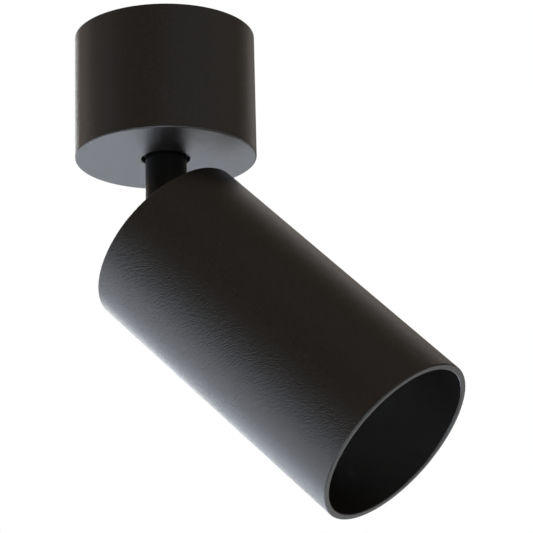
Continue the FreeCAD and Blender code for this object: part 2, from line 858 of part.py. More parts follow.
PIECES = {
    "canopy_housing": canopy_housing,
    "ceiling_bracket": ceiling_bracket,
    "grub_screws": grub_screws,
    "terminal_block": terminal_block,
    "terminal_barrels": terminal_barrels,
    "terminal_screws": terminal_screws,
    "terminal_fixing_screw": terminal_fixing_screw,
    "earth_tag": earth_tag,
    "earth_screw": earth_screw,
    "neck_bush": neck_bush,
    "stop_pin": stop_pin,
    "canopy_live_lead": canopy_live_lead,
    "canopy_neutral_lead": canopy_neutral_lead,
    "canopy_earth_lead": canopy_earth_lead,
    "neck_tube": neck_tube,
    "stop_washer": stop_washer,
    "disc_spring": disc_spring,
    "lock_nut": lock_nut,
    "trunnion_screws": trunnion_screws,
    "hinge_washers": hinge_washers,
    "neck_leads": neck_leads,
    "head_tube": head_tube,
    "rear_cap": rear_cap,
    "hinge_bracket": hinge_bracket,
    "cap_screws": cap_screws,
    "holder_bracket": holder_bracket,
    "lampholder": lampholder,
    "holder_contacts": holder_contacts,
    "holder_screws": holder_screws,
    "lamp_body": lamp_body,
    "lamp_lens": lamp_lens,
    "lamp_pins": lamp_pins,
    "glare_ring": glare_ring,
    "head_leads": head_leads,
    "head_earth_tag": head_earth_tag,
    "head_earth_lead": head_earth_lead,
}

os.makedirs("parts", exist_ok=True)
for name, build in PIECES.items():
    shape = build()
    shape.exportStep("parts/" + name + ".step")
    print(name, "valid" if shape.isValid() else "NOT VALID", len(shape.Solids), round(shape.Volume, 2))
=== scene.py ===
import math

import bpy
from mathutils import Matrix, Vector


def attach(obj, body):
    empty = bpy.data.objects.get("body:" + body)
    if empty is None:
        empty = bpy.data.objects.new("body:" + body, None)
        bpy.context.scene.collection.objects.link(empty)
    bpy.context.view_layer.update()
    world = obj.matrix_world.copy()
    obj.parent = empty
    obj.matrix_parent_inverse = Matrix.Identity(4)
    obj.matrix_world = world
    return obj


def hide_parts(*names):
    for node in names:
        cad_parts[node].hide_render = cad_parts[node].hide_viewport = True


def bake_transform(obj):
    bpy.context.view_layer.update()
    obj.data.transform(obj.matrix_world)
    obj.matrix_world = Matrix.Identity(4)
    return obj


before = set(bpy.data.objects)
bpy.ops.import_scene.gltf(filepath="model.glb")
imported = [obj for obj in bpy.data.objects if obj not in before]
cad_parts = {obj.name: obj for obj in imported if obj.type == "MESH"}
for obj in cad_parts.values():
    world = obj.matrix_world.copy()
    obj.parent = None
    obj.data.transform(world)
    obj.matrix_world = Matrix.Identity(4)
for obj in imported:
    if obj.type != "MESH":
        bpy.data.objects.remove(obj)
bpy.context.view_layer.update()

# The camera
# It looks up at the spotlight from a little below and to its right, 80 cm away through a long lens,
# so that the canopy's underside and the dark mouth both show.
camera_lens = bpy.data.cameras.new("camera")
camera_lens.sensor_width = 36.0
camera_lens.lens = 177.3
camera = bpy.data.objects.new("camera", camera_lens)
camera.location = (0.32106, -0.68942, -0.31921)
camera.rotation_euler = [math.radians(turn) for turn in (107.786, 1.353, 23.133)]
bpy.context.scene.collection.objects.link(camera)
bpy.context.scene.camera = camera


# The floor and the light
# A white studio with a pale glowing floor a metre below the lamp and soft panels all round it. Its walls
# show white but give only a faint warm light, and colours are shown as they are, without a film curve.
class Reading:
    """A value in a shader. Sums with it add Math nodes."""

    def __init__(self, finish, socket):
        self.finish = finish
        self.socket = socket

    def worked(self, operation, *values):
        return self.finish.node("ShaderNodeMath", {"operation": operation}, dict(enumerate(values)))

    def __add__(self, other):
        return self.worked("ADD", self, other)

    def __sub__(self, other):
        return self.worked("SUBTRACT", self, other)

    def __rsub__(self, other):
        return self.worked("SUBTRACT", other, self)

    def __mul__(self, other):
        return self.worked("MULTIPLY", self, other)

    __radd__ = __add__
    __rmul__ = __mul__

    def sine(self):
        return self.worked("SINE", self)

    def or_higher(self, other):
        return self.worked("MAXIMUM", self, other)


class Finish:
    """A material, or the surroundings, in the making."""

    def __init__(self, name, owner=None):
        self.made = owner or bpy.data.materials.new(name)
        self.made.use_nodes = True
        self.tree = self.made.node_tree
        self.tree.nodes.clear()

    def node(self, kind, settings=None, values=None, output=0):
        """Adds a node: its settings first, then the values or links of its sockets."""
        made = self.tree.nodes.new(kind)
        for name, setting in (settings or {}).items():
            setattr(made, name, setting)
        for name, value in (values or {}).items():
            if isinstance(value, Reading):
                self.tree.links.new(value.socket, made.inputs[name])
            else:
                made.inputs[name].default_value = (*value, 1.0) if made.inputs[name].type == "RGBA" else value
        return Reading(self, made.outputs[output]) if made.outputs else made

    def mixed(self, share, first, second):
        """A colour between two colours."""
        settings = {"data_type": "RGBA", "clamp_factor": True}
        return self.node("ShaderNodeMix", settings, {0: share, 6: first, 7: second}, 2)


surroundings = Finish("surroundings", bpy.data.worlds.new("surroundings"))
bpy.context.scene.world = surroundings.made
seen_directly = surroundings.node("ShaderNodeLightPath", output="Is Camera Ray")
walls = surroundings.node("ShaderNodeBackground", {}, {"Color": (1.0, 0.79, 0.62), "Strength": 0.2})
white = surroundings.node("ShaderNodeBackground", {}, {"Color": (1.0, 1.0, 1.0), "Strength": 1.0})
shown = surroundings.node("ShaderNodeMixShader", {}, {0: seen_directly, 1: walls, 2: white})
surroundings.node("ShaderNodeOutputWorld", {}, {"Surface": shown})
bpy.context.scene.view_settings.view_transform = "Standard"

lit_point = Vector((0.03, 0.0, -0.08))


def soft_panel(name, bearing, rise, distance, side, brightness, colour):
    """A square light aimed at the lamp. Its bearing and rise are in degrees, the bearing from +Y towards +X,
    and its brightness is per unit of area."""
    light = bpy.data.lights.new(name, "AREA")
    light.shape = "SQUARE"
    light.size = side
    light.color = colour
    light.energy = brightness * math.pi * side ** 2
    panel = bpy.data.objects.new(name, light)
    bearing, rise = math.radians(bearing), math.radians(rise)
    towards = Vector((math.sin(bearing) * math.cos(rise), math.cos(bearing) * math.cos(rise), math.sin(rise)))
    panel.location = lit_point + towards * distance
    panel.rotation_euler = towards.to_track_quat("Z", "Y").to_euler()
    panel.visible_camera = False
    bpy.context.scene.collection.objects.link(panel)


cool = (0.77, 0.85, 1.0)
neutral = (0.92, 0.96, 1.0)
for place, bearing, rise, distance, side, brightness, colour in (
    ("low_front_left", -130.0, -14.0, 2.0, 0.95, 0.65, (0.6, 0.76, 1.0)),
    ("low_left", -101.0, -14.0, 2.0, 0.95, 1.65, cool),
    ("low_far_left", -75.0, -14.0, 2.0, 0.95, 1.15, cool),
    ("low_behind_left", -49.0, -14.0, 2.0, 0.95, 1.65, cool),
    ("wide_right", 110.0, 18.0, 1.6, 3.2, 0.15, neutral),
    ("below_behind", -30.0, -42.0, 1.15, 0.65, 3.4, (0.71, 0.81, 1.0)),
    ("below_front", 175.0, -58.0, 1.15, 0.8, 3.8, (0.68, 0.84, 1.0)),
    ("front_left", -125.0, 14.0, 2.0, 0.95, 0.3, neutral),
    ("left", -80.0, 14.0, 2.0, 0.95, 0.5, (1.0, 0.9, 0.86)),
    ("behind_left", -35.0, 14.0, 2.0, 0.95, 2.4, (0.93, 0.98, 1.0)),
    ("behind_right", 10.0, 14.0, 2.0, 0.95, 0.35, neutral),
    ("above_left", -85.0, 62.0, 2.0, 0.95, 2.4, neutral),
    ("above_behind", -5.0, 45.0, 2.0, 0.95, 0.4, neutral),
):
    soft_panel("panel_" + place, bearing, rise, distance, side, brightness, colour)

floor_half_width = 6.0
floor_level = -1.1
floor_sheet = bpy.data.meshes.new("floor")
corners = [(-1, -1), (1, -1), (1, 1), (-1, 1)]
floor_sheet.from_pydata(
    [(x * floor_half_width, y * floor_half_width, floor_level) for x, y in corners], [], [(0, 1, 2, 3)]
)
floor = bpy.data.objects.new("floor", floor_sheet)
bpy.context.scene.collection.objects.link(floor)

floor_paint = Finish("floor_paint")
floor_surface = floor_paint.node("ShaderNodeBsdfPrincipled", {}, {
    "Base Color": (0.03, 0.03, 0.03), "Roughness": 0.9,
    "Emission Color": (0.96, 0.98, 1.0), "Emission Strength": 0.96,
})
floor_paint.node("ShaderNodeOutputMaterial", {}, {"Surface": floor_surface})
floor_sheet.materials.append(floor_paint.made)


# The ceiling bracket
# A strap of 1.5 mm steel with a shelf, pressed and bent, then zinc-plated. Two screws hold it to the
# ceiling, and its two turned-down ears take the canopy's set screws.
def wear(finish, *names):
    """Gives a finish to the CAD nodes of these names."""
    for name in names:
        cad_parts[name].material_slots[0].material = finish.made


def surface(finish, values):
    """The finish's surface, with the values or links of its sockets."""
    shader = finish.node("ShaderNodeBsdfPrincipled", {}, values)
    finish.node("ShaderNodeOutputMaterial", {}, {"Surface": shader})


def metres(finish):
    """Place on the piece in metres, which stays with the piece as it moves."""
    return finish.node("ShaderNodeTexCoord", output="Object")


def grain(finish, per_metre, detail=2.0, roughness=0.5, place=None):
    """Random grain from 0 to 1, with this many lumps to the metre."""
    values = {"Vector": place or metres(finish), "Scale": per_metre, "Detail": detail, "Roughness": roughness}
    return finish.node("ShaderNodeTexNoise", {}, values)


def drawn_out(finish, stretch):
    """Place on the piece, counted more closely along some axes, so that grain runs along the others."""
    return finish.node("ShaderNodeVectorMath", {"operation": "MULTIPLY"}, {0: metres(finish), 1: stretch})


def only_above(finish, reading, low, high):
    """0 where a reading is under low, 1 where it is over high, and a smooth step between."""
    values = {"Value": reading, "From Min": low, "From Max": high}
    return finish.node("ShaderNodeMapRange", {"interpolation_type": "SMOOTHSTEP"}, values)


def relief(finish, height, depth):
    """Bumps of this depth in metres, for the surface's Normal."""
    return finish.node("ShaderNodeBump", {}, {"Strength": 1.0, "Distance": depth, "Height": height})


zinc_plate = Finish("zinc_plate")
zinc_cloud = grain(zinc_plate, 130.0, 4.0, 0.6)
rolling = grain(zinc_plate, 500.0, 3.0, 0.6, drawn_out(zinc_plate, (0.12, 1.0, 1.0)))
handling = only_above(zinc_plate, grain(zinc_plate, 70.0, 5.0, 0.7), 0.56, 0.7)
zinc_colour = zinc_plate.mixed(zinc_cloud, (0.42, 0.45, 0.50), (0.62, 0.62, 0.58))
surface(zinc_plate, {
    "Base Color": zinc_plate.mixed(handling, zinc_colour, (0.36, 0.34, 0.30)),
    "Metallic": 1.0,
    "Roughness": 0.24 + 0.16 * zinc_cloud + 0.16 * rolling,
    "Normal": relief(zinc_plate, rolling, 0.00004),
})
wear(zinc_plate, "ceiling_bracket")


# The connector block
# Two brass tubes with clamping screws, in a block moulded from natural nylon. One screw from below holds
# it to the bracket's shelf. The nylon is a little milky, with a fine matt skin.
white_nylon = Finish("white_nylon")
milk = grain(white_nylon, 160.0, 3.0)
skin = grain(white_nylon, 5200.0, 2.0)
surface(white_nylon, {
    "Base Color": white_nylon.mixed(milk, (0.70, 0.685, 0.63), (0.80, 0.79, 0.745)),
    "Roughness": 0.38 + 0.12 * skin,
    "Subsurface Weight": 0.2,
    "Subsurface Radius": (0.0012, 0.001, 0.0008),
    "Normal": relief(white_nylon, skin, 0.00002),
})
wear(white_nylon, "terminal_block")

turned_brass = Finish("turned_brass")
tarnish = grain(turned_brass, 210.0, 4.0, 0.65)
tool_marks = grain(turned_brass, 1500.0, 2.0, 0.5, drawn_out(turned_brass, (0.1, 0.1, 2.0)))
surface(turned_brass, {
    "Base Color": turned_brass.mixed(tarnish, (0.79, 0.58, 0.26), (0.60, 0.40, 0.16)),
    "Metallic": 1.0,
    "Roughness": 0.2 + 0.14 * tarnish + 0.08 * tool_marks,
    "Normal": relief(turned_brass, tool_marks, 0.00002),
})
wear(turned_brass, "terminal_barrels")

bright_screw = Finish("bright_screw")
plating = grain(bright_screw, 900.0, 3.0)
slot_dirt = only_above(bright_screw, grain(bright_screw, 420.0, 3.0), 0.54, 0.72)
surface(bright_screw, {
    "Base Color": bright_screw.mixed(slot_dirt, (0.57, 0.575, 0.57), (0.30, 0.29, 0.27)),
    "Metallic": 1.0,
    "Roughness": 0.2 + 0.22 * plating,
    "Normal": relief(bright_screw, plating, 0.00002),
})
wear(bright_screw, "terminal_screws", "terminal_fixing_screw")


# The earth tags
# Rings stamped from thin tinned brass, one under the earth screw on the bracket and one under a screw of
# the head's cap. The tin shows soft grey clouds, and warmer spots where handling bared the brass.
tinned_brass = Finish("tinned_brass")
tin_cloud = grain(tinned_brass, 520.0, 4.0, 0.6)
bared = only_above(tinned_brass, grain(tinned_brass, 240.0, 4.0, 0.7), 0.6, 0.68)
tin_colour = tinned_brass.mixed(tin_cloud, (0.55, 0.545, 0.53), (0.70, 0.695, 0.67))
surface(tinned_brass, {
    "Base Color": tinned_brass.mixed(bared, tin_colour, (0.66, 0.50, 0.27)),
    "Metallic": 1.0,
    "Roughness": 0.26 + 0.2 * tin_cloud,
    "Normal": relief(tinned_brass, tin_cloud, 0.00002),
})
wear(tinned_brass, "earth_tag", "head_earth_tag")
wear(bright_screw, "earth_screw")


# The coated shells: canopy, head tube and rear cap
# Turned and drawn aluminium, sprayed with a near-black powder paint and baked. The coat sets with a fine
# close grain, a little brown, and a low satin shine that clouds slightly from place to place. Its colour is
# painted lighter on the grain's lumps and darker between them: painted light and shade on the grain.
black_coat = Finish("black_coat")
lumps = grain(black_coat, 2400.0, 1.0, 0.5)
cloudy = grain(black_coat, 55.0, 3.0)
# Painted light and shade: the colour is lighter on the grain's lumps and darker in the hollows between them.
grain_light_and_shade = only_above(black_coat, lumps, 0.3, 0.7)
surface(black_coat, {
    "Base Color": black_coat.mixed(grain_light_and_shade, (0.0062, 0.0054, 0.0048), (0.0148, 0.0134, 0.0122)),
    "Roughness": 0.22 + 0.08 * cloudy,
    "Normal": relief(black_coat, lumps, 0.00014),
})
wear(black_coat, "canopy_housing", "head_tube", "rear_cap")


# The canopy's set screws
# Two M3 socket screws of blackened steel, turned in flush through the canopy's wall onto the bracket's
# ears. The blacking is thin, and rubs brown and then bright where a key has turned in it.
black_screw = Finish("black_screw")
blacking = grain(black_screw, 620.0, 4.0, 0.6)
rubbed = only_above(black_screw, blacking, 0.58, 0.72)
surface(black_screw, {
    "Base Color": black_screw.mixed(rubbed, (0.022, 0.021, 0.022), (0.11, 0.095, 0.085)),
    "Metallic": 0.85,
    "Roughness": 0.3 + 0.2 * blacking,
    "Normal": relief(black_screw, blacking, 0.00003),
})
wear(black_screw, "grub_screws")


# The bush in the canopy's floor
# Moulded black nylon, pushed into the hole from inside; the neck turns in it. It shows from below as the
# dark ring round the neck. The mould was spark-eroded, so the skin is evenly matt.
black_nylon = Finish("black_nylon")
eroded = grain(black_nylon, 4600.0, 2.0)
nylon_cloud = grain(black_nylon, 240.0, 3.0)
surface(black_nylon, {
    "Base Color": black_nylon.mixed(nylon_cloud, (0.0055, 0.0055, 0.0055), (0.011, 0.0108, 0.0105)),
    "Roughness": 0.5 + 0.16 * eroded,
    "Normal": relief(black_nylon, eroded, 0.00004),
})
wear(black_nylon, "neck_bush")


# The neck
# A turned aluminium tube with a collar, a keyed thread above it and a milled knuckle at its foot. It is
# coated thinly in smooth black, and the turning marks just show. Its near-black colour is partly its own and
# partly painted shade: it is set darker than the shells' to stand in for the shade the neck sits in under the
# canopy.
black_satin = Finish("black_satin")
turning = grain(black_satin, 2400.0, 2.0, 0.5, drawn_out(black_satin, (0.04, 0.04, 1.0)))
handled = grain(black_satin, 130.0, 4.0, 0.6)
surface(black_satin, {
    # Partly painted shade: the colour is set darker than the shells' for the shade under the canopy.
    "Base Color": black_satin.mixed(handled, (0.0014, 0.0016, 0.0014), (0.0026, 0.0028, 0.0025)),
    "Roughness": 0.27 + 0.08 * handled,
    "Specular IOR Level": 0.2,
    "Normal": relief(black_satin, turning, 0.000012),
})
wear(black_satin, "neck_tube")


# What holds the swivel
# On the neck's thread sit a keyed steel washer, whose tab meets a pin in the floor at each end of the
# turn, a coned spring washer that brakes the neck, and a brass nut.
stamped_steel = Finish("stamped_steel")
dull = grain(stamped_steel, 330.0, 4.0, 0.6)
wiped = grain(stamped_steel, 1600.0, 2.0)
surface(stamped_steel, {
    "Base Color": stamped_steel.mixed(dull, (0.47, 0.48, 0.50), (0.60, 0.60, 0.585)),
    "Metallic": 1.0,
    "Roughness": 0.25 + 0.18 * dull,
    "Normal": relief(stamped_steel, wiped, 0.00002),
})
wear(stamped_steel, "stop_washer", "stop_pin")

spring_steel = Finish("spring_steel")
temper = grain(spring_steel, 190.0, 3.0, 0.55)
oil = grain(spring_steel, 800.0, 3.0)
surface(spring_steel, {
    "Base Color": spring_steel.mixed(temper, (0.20, 0.19, 0.21), (0.34, 0.29, 0.23)),
    "Metallic": 1.0,
    "Roughness": 0.18 + 0.16 * oil,
    "Normal": relief(spring_steel, oil, 0.00001),
})
wear(spring_steel, "disc_spring")
wear(turned_brass, "lock_nut")


# The tilt hinge
# A strip of steel with two ears turned up, dipped in black electrocoat and screwed under the cap. Shoulder
# screws carry the ears on the neck's knuckle, with a nylon friction washer under each.
black_steel = Finish("black_steel")
orange_peel = grain(black_steel, 1500.0, 2.0)
thin_paint = only_above(black_steel, grain(black_steel, 300.0, 5.0, 0.7), 0.6, 0.72)
surface(black_steel, {
    "Base Color": black_steel.mixed(thin_paint, (0.012, 0.012, 0.0125), (0.035, 0.034, 0.033)),
    "Roughness": 0.26 + 0.1 * orange_peel,
    "Normal": relief(black_steel, orange_peel, 0.00004),
})
wear(black_steel, "hinge_bracket")
wear(black_screw, "trunnion_screws", "cap_screws")
wear(black_nylon, "hinge_washers")


# The lampholder
# Pressed from unglazed white ceramic, with two curved slots that the lamp's pins twist into and bronze
# contacts behind them. Two screws hold it to a hat-shaped steel strap that hangs from the cap.
steatite = Finish("steatite")
chalk = grain(steatite, 260.0, 4.0, 0.6)
pores = only_above(steatite, grain(steatite, 2600.0, 3.0, 0.6), 0.66, 0.76)
ceramic_colour = steatite.mixed(chalk, (0.66, 0.63, 0.56), (0.76, 0.735, 0.675))
surface(steatite, {
    "Base Color": steatite.mixed(pores, ceramic_colour, (0.44, 0.40, 0.33)),
    "Roughness": 0.62 + 0.2 * chalk,
    "Normal": relief(steatite, 0.7 * chalk - pores, 0.00006),
})
wear(steatite, "lampholder")
wear(stamped_steel, "holder_bracket")
wear(bright_screw, "holder_screws")

bronze = Finish("bronze")
bronze_tint = grain(bronze, 600.0, 4.0, 0.6)
surface(bronze, {
    "Base Color": bronze.mixed(bronze_tint, (0.66, 0.43, 0.25), (0.48, 0.29, 0.15)),
    "Metallic": 1.0,
    "Roughness": 0.22 + 0.16 * bronze_tint,
    "Normal": relief(bronze, bronze_tint, 0.00001),
})
wear(bronze, "holder_contacts")


# The lamp
# A 50 mm twist-lock reflector lamp. Its pale shell is moulded over an aluminium heat sink, so shallow ribs
# run down its cone. Two nickel-plated pins stand on its base, and its front rim carries the lens.
pivot_level = -66.8
slant = math.sqrt(0.5)


def in_head(across, side, down):
    """A place in metres, from millimetres across the head, along the tilt axis and down to the mouth."""
    return (
        (across + down) * slant / 1000,
        side / 1000,
        (pivot_level + (across - down) * slant) / 1000,
    )


def piece_of(name, points, faces, body):
    """A mesh piece that rides on a body."""
    sheet = bpy.data.meshes.new(name)
    sheet.from_pydata(points, [], faces)
    made = bpy.data.objects.new(name, sheet)
    bpy.context.scene.collection.objects.link(made)
    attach(made, body)
    return made


def smooth(piece, sharpest=35.0):
    """Shades a piece smoothly, but keeps its edges that turn more sharply than this many degrees."""
    piece.data.set_sharp_from_angle(angle=math.radians(sharpest))


def spun(name, profile, around, shaped=None):
    """A closed piece turned about the head's axis. Its profile is (radius, down) from axis to axis, and
    shaped changes a point's radius from its angle and depth."""
    points = [in_head(0, 0, profile[0][1]), in_head(0, 0, profile[-1][1])]
    rows = profile[1:-1]
    for radius, down in rows:
        for step in range(around):
            angle = 2 * math.pi * step / around
            reach = shaped(radius, angle, down) if shaped else radius
            points.append(in_head(reach * math.cos(angle), reach * math.sin(angle), down))
    faces = []
    for step in range(around):
        beside = (step + 1) % around
        faces.append((0, 2 + step, 2 + beside))
        for row in range(len(rows) - 1):
            near, far = 2 + row * around, 2 + (row + 1) * around
            faces.append((near + step, far + step, far + beside, near + beside))
        last = 2 + (len(rows) - 1) * around
        faces.append((last + beside, last + step, 1))
    return piece_of(name, points, faces, "head")


lamp_foot = 27.0
lamp_front = 73.5
lens_depth = 2.0
lens_seat = lamp_front - lens_depth
lens_radius = 23.05
lens_gap = 0.07
shell_profile = [
    (10.8, 27.0), (11.3, 27.2), (11.5, 27.7), (11.5, 33.0), (11.9, 34.6), (13.4, 36.9), (15.4, 39.6),
    (17.2, 43.2), (18.9, 47.3), (20.4, 52.0), (22.0, 58.5), (23.3, 64.8), (24.1, 68.6), (24.8, 70.3),
    (25.0, 71.0), (25.0, 73.0), (24.85, 73.35), (24.5, 73.5), (23.6, 73.5), (23.25, 73.3), (23.12, 72.9),
]
cone_top = 36.0
cone_foot = 68.0
cone_parts = 6
rib_count = 22
groove_depth = 1.3
groove_fullness = 1.6
groove_top = 38.5
groove_foot = 66.5
groove_run_out = 4.0
points_to_a_rib = 12


def shell_rows():
    """The shell's profile with more rows down its cone, so that the ribs' ends are smooth."""
    rows = [(0.0, lamp_foot)]
    for (radius, down), (next_radius, next_down) in zip(shell_profile, shell_profile[1:]):
        parts = cone_parts if cone_top < down < cone_foot else 1
        for part in range(parts):
            share = part / parts
            rows.append((radius + (next_radius - radius) * share, down + (next_down - down) * share))
    return rows + [shell_profile[-1], (lens_radius + lens_gap, lens_seat), (0.0, lens_seat)]


def ribbed(radius, angle, down):
    """Sinks the grooves between the ribs, which run out smoothly at both ends of the cone."""
    from_top = min(1.0, max(0.0, (down - groove_top) / groove_run_out))
    from_foot = min(1.0, max(0.0, (groove_foot - down) / groove_run_out))
    ends = from_top * from_foot
    ends = ends * ends * (3 - 2 * ends)
    wave = 0.5 + 0.5 * math.cos(rib_count * angle)
    return radius - groove_depth * ends * min(1.0, groove_fullness * wave) ** 2


lamp_shell = Finish("lamp_shell")
flow = grain(lamp_shell, 90.0, 3.0)
shell_skin = grain(lamp_shell, 3600.0, 2.0)
surface(lamp_shell, {
    "Base Color": lamp_shell.mixed(flow, (0.62, 0.62, 0.61), (0.70, 0.70, 0.685)),
    "Roughness": 0.3 + 0.12 * shell_skin,
    "Normal": relief(lamp_shell, shell_skin, 0.00002),
})
reflector_lamp = spun("reflector_lamp", shell_rows(), rib_count * points_to_a_rib, ribbed)
reflector_lamp.data.materials.append(lamp_shell.made)
smooth(reflector_lamp)
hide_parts("lamp_body")

nickel = Finish("nickel")
nickel_haze = grain(nickel, 700.0, 4.0, 0.6)
surface(nickel, {
    "Base Color": nickel.mixed(nickel_haze, (0.67, 0.64, 0.59), (0.55, 0.52, 0.47)),
    "Metallic": 1.0,
    "Roughness": 0.14 + 0.16 * nickel_haze,
    "Normal": relief(nickel, nickel_haze, 0.00001),
})
wear(nickel, "lamp_pins")


# The light source behind the lens
# A thin round board with a white face, laid in the shell's front, and seven chips soldered to it. Each
# chip lies under a small dome of yellow silicone.
chip_board = Finish("chip_board")
solder_resist = grain(chip_board, 1200.0, 3.0)
surface(chip_board, {
    "Base Color": chip_board.mixed(solder_resist, (0.72, 0.73, 0.72), (0.79, 0.79, 0.775)),
    "Roughness": 0.34 + 0.1 * solder_resist,
    "Normal": relief(chip_board, solder_resist, 0.00001),
})
board_radius = 21.4
board_back = lens_seat - 0.2
board_front = lens_seat + 0.12
board_profile = [(0, board_back), (board_radius, board_back), (board_radius, board_front), (0, board_front)]
lamp_board = spun("lamp_board", board_profile, 120)
lamp_board.data.materials.append(chip_board.made)
smooth(lamp_board)

phosphor = Finish("phosphor")
phosphor_grain = grain(phosphor, 6000.0, 2.0)
surface(phosphor, {
    "Base Color": phosphor.mixed(phosphor_grain, (0.72, 0.50, 0.06), (0.84, 0.64, 0.14)),
    "Roughness": 0.22 + 0.1 * phosphor_grain,
    "Subsurface Weight": 0.3,
    "Subsurface Radius": (0.0006, 0.0004, 0.0001),
    "Normal": relief(phosphor, phosphor_grain, 0.00001),
})
chip_radius = 1.7
chip_circle = 9.0
chip_foot = -0.05
chip_top = 0.285
chip_around = 24
chip_rows = ((1.0, chip_foot), (1.0, 0.02), (0.9, 0.13), (0.66, 0.22), (0.35, 0.27))
chip_points, chip_faces = [], []
chip_places = [(0.0, 0.0)]
for turn in range(6):
    angle = turn * math.pi / 3
    chip_places.append((chip_circle * math.cos(angle), chip_circle * math.sin(angle)))
for across, side in chip_places:
    first = len(chip_points)
    chip_points += [in_head(across, side, board_front + height) for height in (chip_foot, chip_top)]
    for share, height in chip_rows:
        reach = chip_radius * share
        for step in range(chip_around):
            angle = 2 * math.pi * step / chip_around
            place = (across + reach * math.cos(angle), side + reach * math.sin(angle))
            chip_points.append(in_head(*place, board_front + height))
    for step in range(chip_around):
        beside = (step + 1) % chip_around
        chip_faces.append((first, first + 2 + step, first + 2 + beside))
        for row in range(len(chip_rows) - 1):
            near, far = first + 2 + row * chip_around, first + 2 + (row + 1) * chip_around
            chip_faces.append((near + step, far + step, far + beside, near + beside))
        last = first + 2 + (len(chip_rows) - 1) * chip_around
        chip_faces.append((last + beside, last + step, first + 1))
lamp_chips = piece_of("lamp_chips", chip_points, chip_faces, "head")
lamp_chips.data.materials.append(phosphor.made)
smooth(lamp_chips)


# The lens
# Moulded from clear plastic and clipped into the shell's rim. Its front is a honeycomb of shallow domes
# that mixes the seven chips' light, inside a plain rim; its back is hollowed to clear the chips.
dome_spacing = 4.2
dome_rise = 0.55
dome_field = 21.3
dome_field_sink = 0.35
dome_field_edge = 0.6
lens_rim_face = lamp_front - 0.6
lens_face_radius = 22.75
lens_rim_corner = 0.3
lens_hollow_radius = 22.0
lens_hollow_depth = 0.45
lens_hollow_corner = 0.2


def dome_height(across, side):
    """How far the nearest dome of the honeycomb stands up here, from 0 at its corners to 1 at its top."""
    row_height = dome_spacing * math.sqrt(3) / 2
    nearest = dome_spacing
    row = round(side / row_height)
    for line in (row - 1, row, row + 1):
        shift = dome_spacing / 2 * (line % 2)
        middle = round((across - shift) / dome_spacing) * dome_spacing + shift
        nearest = min(nearest, math.hypot(across - middle, side - line * row_height))
    return 1 - (nearest * math.sqrt(3) / dome_spacing) ** 2


def lens_face(radius, angle):
    """How far down the lens's front stands at a place on it."""
    if radius > dome_field:
        return lens_rim_face
    edge = min(1.0, (dome_field - radius) / dome_field_edge)
    dome = dome_height(radius * math.cos(angle), radius * math.sin(angle))
    return lens_rim_face - dome_field_sink * edge + dome_rise * dome * edge


lens_around = 252
lens_rings = 74
lens_hollow = lens_seat + lens_hollow_depth
front_rows = [(lens_face_radius * (ring + 1) / lens_rings, None) for ring in range(lens_rings)]
back_rows = [
    (lens_radius, lens_rim_face - lens_rim_corner), (lens_radius, lens_seat),
    (lens_hollow_radius + lens_hollow_corner, lens_seat), (lens_hollow_radius, lens_hollow),
    (lens_hollow_radius / 2, lens_hollow),
]
# A row on the front has no level of its own: the domes give each of its points one.
lens_points = [in_head(0, 0, lens_face(0, 0))]
for radius, down in front_rows + back_rows:
    for step in range(lens_around):
        angle = 2 * math.pi * step / lens_around
        level = lens_face(radius, angle) if down is None else down
        lens_points.append(in_head(radius * math.cos(angle), radius * math.sin(angle), level))
lens_points.append(in_head(0, 0, lens_hollow))
lens_faces = []
row_count = len(front_rows + back_rows)
for step in range(lens_around):
    beside = (step + 1) % lens_around
    lens_faces.append((0, 1 + beside, 1 + step))
    for row in range(row_count - 1):
        near, far = 1 + row * lens_around, 1 + (row + 1) * lens_around
        lens_faces.append((near + step, near + beside, far + beside, far + step))
    last = 1 + (row_count - 1) * lens_around
    lens_faces.append((last + step, last + beside, len(lens_points) - 1))

clear_plastic = Finish("clear_plastic")
mould_flow = grain(clear_plastic, 60.0, 2.0)
surface(clear_plastic, {
    "Base Color": clear_plastic.mixed(mould_flow, (0.95, 0.965, 0.97), (0.98, 0.985, 0.985)),
    "Roughness": 0.015 + 0.03 * mould_flow,
    "IOR": 1.49,
    "Transmission Weight": 1.0,
    "Normal": relief(clear_plastic, mould_flow, 0.0001),
})
honeycomb_lens = piece_of("honeycomb_lens", lens_points, lens_faces, "head")
honeycomb_lens.data.materials.append(clear_plastic.made)
smooth(honeycomb_lens, 12.0)
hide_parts("lamp_lens")


# The glare ring
# A stepped ring moulded from the bush's black nylon. It sits on the lamp's rim inside the tube, and its
# steps hide the bright lens from the side.
wear(black_nylon, "glare_ring")


# The leads in the canopy
# Brown, blue and striped green and yellow: copper strands in silicone. They leave the neck together and run
# to the two poles of the connector block and to the earth tag.
strap_turn = math.radians(25.5)
lead_radius = 0.85
bundle_radius = 1.15
strand_radius = 0.5
wire_level = -4.5


def by_strap(across, along, level):
    """A place drawn with the ceiling strap along X, in millimetres, turned to where the strap lies."""
    return (
        across * math.cos(strap_turn) - along * math.sin(strap_turn),
        across * math.sin(strap_turn) + along * math.cos(strap_turn),
        level,
    )


def lead_place(index):
    """Where one of the three leads lies in the neck's bore: its x and y in millimetres."""
    angle = math.radians(90 + 120 * index)
    return bundle_radius * math.cos(angle), bundle_radius * math.sin(angle)


def smooth_line(corners):
    """Points of the smooth line that these corners in millimetres guide, in metres."""
    curve = bpy.data.curves.new("lead_line", "CURVE")
    curve.dimensions = "3D"
    curve.resolution_u = 14
    spline = curve.splines.new("NURBS")
    spline.points.add(len(corners) - 1)
    for point, corner in zip(spline.points, corners):
        point.co = (*(millimetres / 1000 for millimetres in corner), 1.0)
    spline.use_endpoint_u = True
    spline.order_u = 3
    line = bpy.data.objects.new("lead_line", curve)
    sampled = bpy.data.meshes.new_from_object(line)
    points = [vertex.co.copy() for vertex in sampled.vertices]
    bpy.data.objects.remove(line)
    bpy.data.meshes.remove(sampled)
    return points


